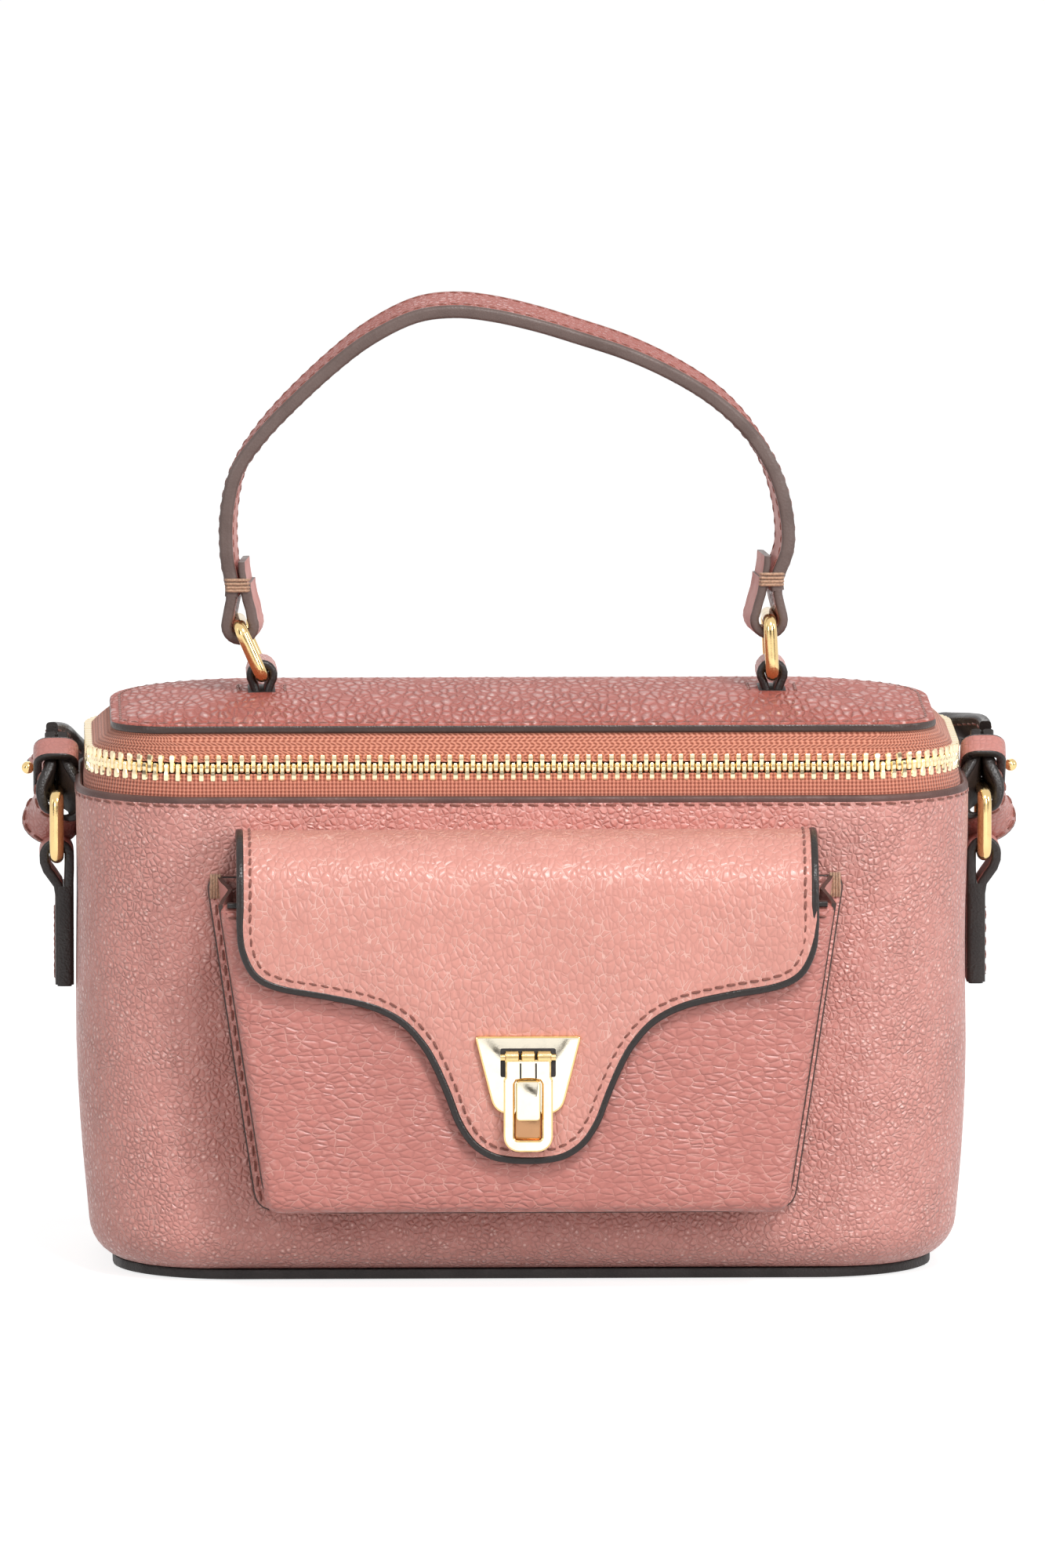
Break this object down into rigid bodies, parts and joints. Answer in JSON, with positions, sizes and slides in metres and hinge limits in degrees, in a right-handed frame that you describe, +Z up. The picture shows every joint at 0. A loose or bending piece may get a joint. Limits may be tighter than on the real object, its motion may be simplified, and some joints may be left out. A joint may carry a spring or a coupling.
{
  "type": "vanity case handbag",
  "caption": "Small zip-round vanity case in grained leather with a hinged lid, top handle on rings, front flap pocket with a hasp lock, and a shoulder strap.",
  "frame": {"origin": "middle of the base panel's underside, on the surface the case stands on", "axes": "+X to the right as seen from the front, +Y to the back, +Z up"},
  "size_m": [0.223, 0.1923, 0.213],
  "materials": {
    "grained_leather": "soft satin, pebbled grain",
    "plain_leather": "satin, fine grain",
    "edge_leather": "dark painted edge, satin",
    "lining": "matt woven",
    "zip_tape": "matt herringbone tape",
    "stiffener": "matt",
    "flap_suede": "matt suede",
    "gold": "polished"
  },
  "bodies": {
    "case": {"base_panel": "edge_leather", "body_shell": "grained_leather", "body_board": "stiffener", "body_lining": "lining", "lower_zip_tape": "zip_tape", "lower_zip_teeth": "gold", "hinge_panel_lower": "plain_leather", "zip_tail_left": "zip_tape", "zip_tail_right": "zip_tape", "pocket_back_panel": "plain_leather", "pocket_gusset": "plain_leather", "pocket_front_panel": "grained_leather", "flap_root": "grained_leather", "lock_catch": "gold", "side_tab_left": "edge_leather", "side_tab_right": "edge_leather", "strap_left": "grained_leather", "strap_right": "grained_leather"},
    "lid": {"lid_panel": "grained_leather", "lid_board": "stiffener", "lid_lining": "lining", "upper_zip_tape": "zip_tape", "upper_zip_teeth": "gold", "hinge_panel_upper": "plain_leather", "handle_tab_left": "grained_leather", "handle_tab_right": "grained_leather"},
    "handle_ring_left": {"handle_ring_left": "gold"},
    "handle_ring_right": {"handle_ring_right": "gold"},
    "handle": {"handle_strap": "grained_leather", "handle_backing": "plain_leather", "handle_end_left": "grained_leather", "handle_end_right": "grained_leather"},
    "flap": {"pocket_flap": "grained_leather", "flap_lining": "flap_suede", "lock_plate": "gold", "lock_pin": "gold"},
    "lock_loop": {"lock_loop": "gold"},
    "zip_slider": {"zip_slider": "gold"},
    "zip_puller": {"zip_puller": "gold"},
    "side_ring_left": {"side_ring_left": "gold", "strap_end_left": "grained_leather", "strap_keeper_left": "grained_leather", "strap_stud_left": "gold"},
    "side_ring_right": {"side_ring_right": "gold", "strap_end_right": "grained_leather", "strap_keeper_right": "grained_leather", "strap_stud_right": "gold"}
  },
  "joints": [
    {"name": "lid_hinge", "type": "hinge", "parent": "case", "child": "lid", "pos_m": [0, 0.0463, 0.1146], "axis": [-1, 0, 0], "range_deg": [0, 105]},
    {"name": "handle_ring_left", "type": "hinge", "parent": "lid", "child": "handle_ring_left", "pos_m": [-0.0575, 0, 0.1306], "axis": [0, 1, 0], "range_deg": [-18, 18]},
    {"name": "handle_pivot", "type": "hinge", "parent": "handle_ring_left", "child": "handle", "pos_m": [-0.06242, 0, 0.14165], "axis": [0, 1, 0], "range_deg": [-18, 18]},
    {"name": "handle_ring_right", "type": "hinge", "parent": "lid", "child": "handle_ring_right", "pos_m": [0.056, 0, 0.1306], "axis": [0, 1, 0], "range_deg": [-17, 17]},
    {"name": "flap_hinge", "type": "hinge", "parent": "case", "child": "flap", "pos_m": [0, -0.058, 0.1022], "axis": [-1, 0, 0], "range_deg": [0, 140]},
    {"name": "lock_hinge", "type": "hinge", "parent": "flap", "child": "lock_loop", "pos_m": [0, -0.0748, 0.054], "axis": [-1, 0, 0], "range_deg": [0, 100]},
    {"name": "zip_slide", "type": "hinge", "parent": "case", "child": "zip_slider", "pos_m": [0.0681, 0.0171, 0.1146], "axis": [0, 0, 1], "range_deg": [-14, 0]},
    {"name": "puller_hinge", "type": "hinge", "parent": "zip_slider", "child": "zip_puller", "pos_m": [0.07382, 0.04955, 0.1146], "axis": [0.9848, -0.1736, 0], "range_deg": [0, 85]},
    {"name": "side_ring_left", "type": "hinge", "parent": "case", "child": "side_ring_left", "pos_m": [-0.1032, 0, 0.0903], "axis": [0, -1, 0], "range_deg": [0, 30]},
    {"name": "side_ring_right", "type": "hinge", "parent": "case", "child": "side_ring_right", "pos_m": [0.1032, 0, 0.0903], "axis": [0, 1, 0], "range_deg": [0, 30]}
  ],
  "couplings": [
    {"joint": "handle_pivot", "follows": "handle_ring_left", "ratio": -0.963},
    {"joint": "handle_ring_right", "follows": "handle_ring_left", "ratio": 0.918}
  ]
}
